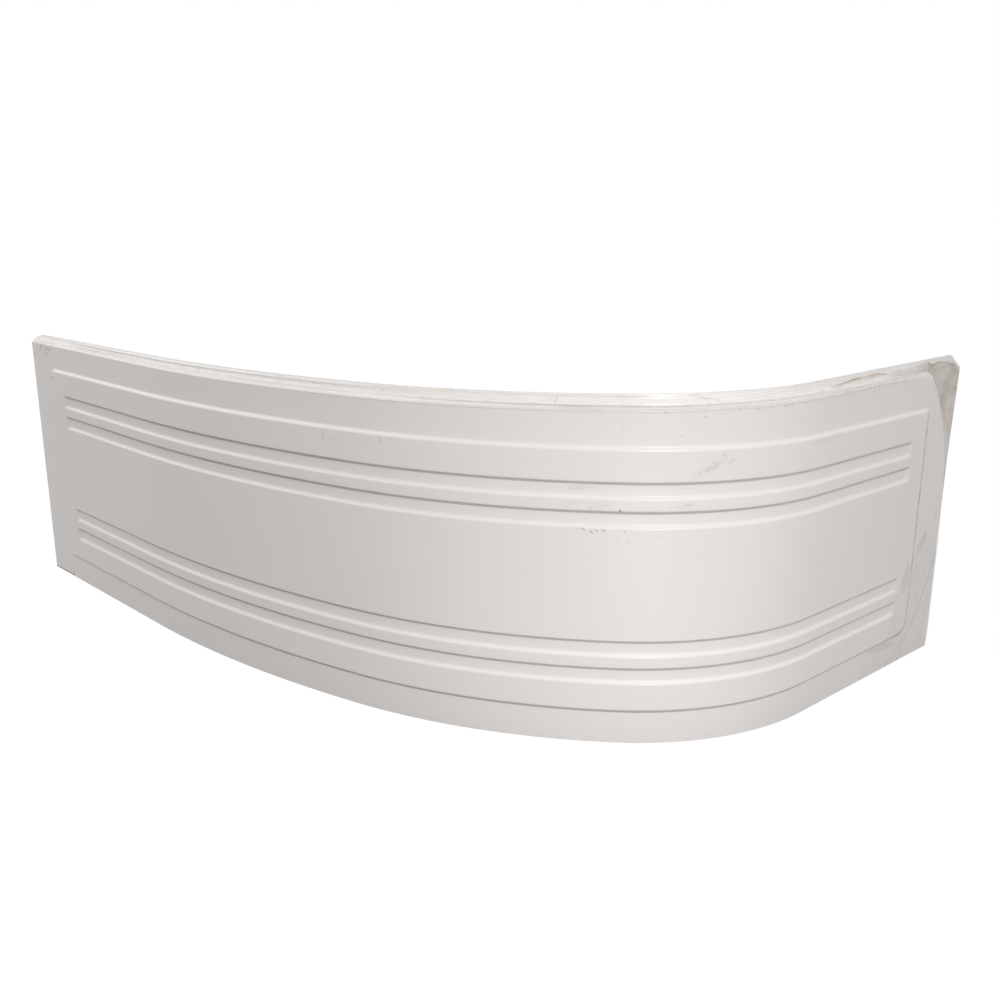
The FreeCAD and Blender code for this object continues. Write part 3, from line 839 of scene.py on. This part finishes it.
# film on the lower right corner of the face, with folds that fan out from the edge,
# bridging to the brim
FLAP_LEFT, FLAP_RIGHT = 2.040, TOTAL_RUN - BRIM_FLARE - 0.001
FLAP_FOLDS = [
    ((2.290, 0.188), (2.271, 0.143), 1.0),
    ((2.271, 0.143), (2.241, 0.087), 1.0),
    ((2.241, 0.087), (2.215, 0.051), 0.9),
    ((2.215, 0.051), (2.179, 0.001), 0.8),
    ((2.264, 0.216), (2.253, 0.168), 0.4),
    ((2.253, 0.168), (2.232, 0.095), 0.5),
    ((2.215, 0.205), (2.216, 0.094), 0.55),
    ((2.2375, 0.205), (2.226, 0.100), 0.35),
    ((2.1975, 0.040), (2.137, 0.002), 0.6),
    ((2.292, 0.108), (2.269, 0.096), 0.7),
    ((2.269, 0.096), (2.2695, 0.070), 0.5),
]
FLAP_TOP = [
    (FLAP_LEFT, 0.046), (2.120, 0.060), (2.150, 0.150), (2.168, 0.196), (2.205, 0.200),
    (2.240, 0.240), (2.290, 0.250),
]
FLAP_FOOT = 0.0015
FACE_EDGE = FACE_RUN - 0.008


def flap_lie(across, share):
    run = FLAP_LEFT + across * (FLAP_RIGHT - FLAP_LEFT)
    past = max(run - FLAP_RIGHT + BRIM_FOOT_ROUND, 0)
    low = FLAP_FOOT + BRIM_FOOT_ROUND - math.sqrt(BRIM_FOOT_ROUND ** 2 - past ** 2)
    height = low + share * (along(FLAP_TOP, run) - low)
    from_end, from_foot = FIELD_ENDS[1] + 0.004 - run, height - FIELD_LEVELS[0] + 0.003
    step = clamp(min(from_end / 0.010, from_foot / 0.009))
    bridged = max(run - FACE_EDGE, 0) / (FLAP_RIGHT - FACE_EDGE)
    out = FILM_GAP + FIELD_RISE * step - bridged * (LEDGE_DEPTH - 0.0015)
    ridge = fold_ridge(FLAP_FOLDS, run, height)
    margin = min(across * 6, (1 - share) * 5, 1)
    bridge = min(bridged * 4, 1) * min((1 - share) * 3, 1)
    cover = max(0.045 * margin, 0.26 * ridge, 0.55 * bridge)
    soil_and_shade = max(0.35, 0.85 * ridge) * (1 - bridged)
    return (run, out + 0.0014 * ridge, height), cover, soil_and_shade


corner_film = film_piece("corner_film", 130, 120, flap_lie)

# Floor and light: a plain pale studio floor that fades to white, a broad lamp near the camera,
# weaker ones at the left, over the far end and low at the bend, and soft light from all round.
studio = bpy.context.scene
studio.view_settings.view_transform = "Standard"
FLOOR_GREY, FLOOR_GLOW = (0.09, 0.09, 0.09, 1), 0.94
PURE_WHITE = (1, 1, 1, 1)
ground = bmesh.new()
bmesh.ops.create_grid(ground, x_segments=1, y_segments=1, size=30)
floor_piece = finished("studio_floor", ground)


def seen_directly(tree):
    """1 for what the camera sees, straight or in a gloss, and 0 for light on the object."""
    kinds = ("Is Camera Ray", "Is Glossy Ray", "Is Transmission Ray")
    return largest(*[Signal.node(tree, "ShaderNodeLightPath", output=kind) for kind in kinds])


pale = bpy.data.materials.new("pale_floor")
pale.use_nodes = True
tree = pale.node_tree
tree.nodes.clear()
lit = Signal.node(tree, "ShaderNodeBsdfDiffuse", None, {"Color": FLOOR_GREY})
inputs = {"Color": PURE_WHITE, "Strength": FLOOR_GLOW * seen_directly(tree)}
glow = Signal.node(tree, "ShaderNodeEmission", None, inputs)
both = Signal.node(tree, "ShaderNodeAddShader", None, {0: lit, 1: glow})
Signal.node(tree, "ShaderNodeOutputMaterial", None, {"Surface": both})
floor_piece.data.materials.append(pale)

world = bpy.data.worlds.new("studio")
studio.world = world
world.use_nodes = True
sky = world.node_tree.nodes["Background"]
sky.inputs["Color"].default_value = PURE_WHITE
AROUND, FALL = 0.79, 0.15
towards = Signal.node(world.node_tree, "ShaderNodeTexCoord", output="Generated")
behind = Signal.node(world.node_tree, "ShaderNodeSeparateXYZ", None, {0: towards}, output=1)
above = Signal.node(world.node_tree, "ShaderNodeSeparateXYZ", None, {0: towards}, output=2)
soft_light = AROUND * (1 - FALL * behind - FALL * above.at_least(0))
level = soft_light + (1 - soft_light) * seen_directly(world.node_tree)
world.node_tree.links.new(level.socket, sky.inputs["Strength"])


def lamp(name, place, aim, size, watts, gleam=True):
    """A square soft lamp that points at a place on the panel."""
    light = bpy.data.lights.new(name, "AREA")
    light.shape, light.size, light.energy = "SQUARE", size, watts
    stand = bpy.data.objects.new(name, light)
    stand.location = place
    stand.rotation_euler = (Vector(aim) - Vector(place)).to_track_quat("-Z", "Y").to_euler()
    stand.visible_glossy = gleam
    studio.collection.objects.link(stand)


lamp("key", (2.614, -1.304, 1.60), (0.6, -0.3, 0.3), 0.75, 24.5)
lamp("left", (-2.0, -1.05, 1.50), (-0.2, -0.5, 0.4), 1.5, 3.8)
lamp("far", (-0.35, -0.66, 1.60), (-0.25, -0.55, 0.3), 0.3, 2.4)
lamp("bend", (1.26, -0.70, 0.12), (0.62, -0.30, 0.12), 0.4, 1.7, gleam=False)

# Camera: where the photograph was taken from, looking down a little from the right.
camera = bpy.data.cameras.new("camera")
camera.lens, camera.sensor_width = 39.51, 36
camera.shift_x, camera.shift_y = -0.0015, 0.0283
viewpoint = bpy.data.objects.new("camera", camera)
roll = Matrix.Rotation(math.radians(0.225), 4, "Z")
aim = Euler((math.radians(74.061), 0, math.radians(46.801))).to_matrix().to_4x4()
viewpoint.matrix_world = Matrix.Translation((1.6587, -1.4361, 0.7822)) @ aim @ roll
studio.collection.objects.link(viewpoint)
studio.camera = viewpoint
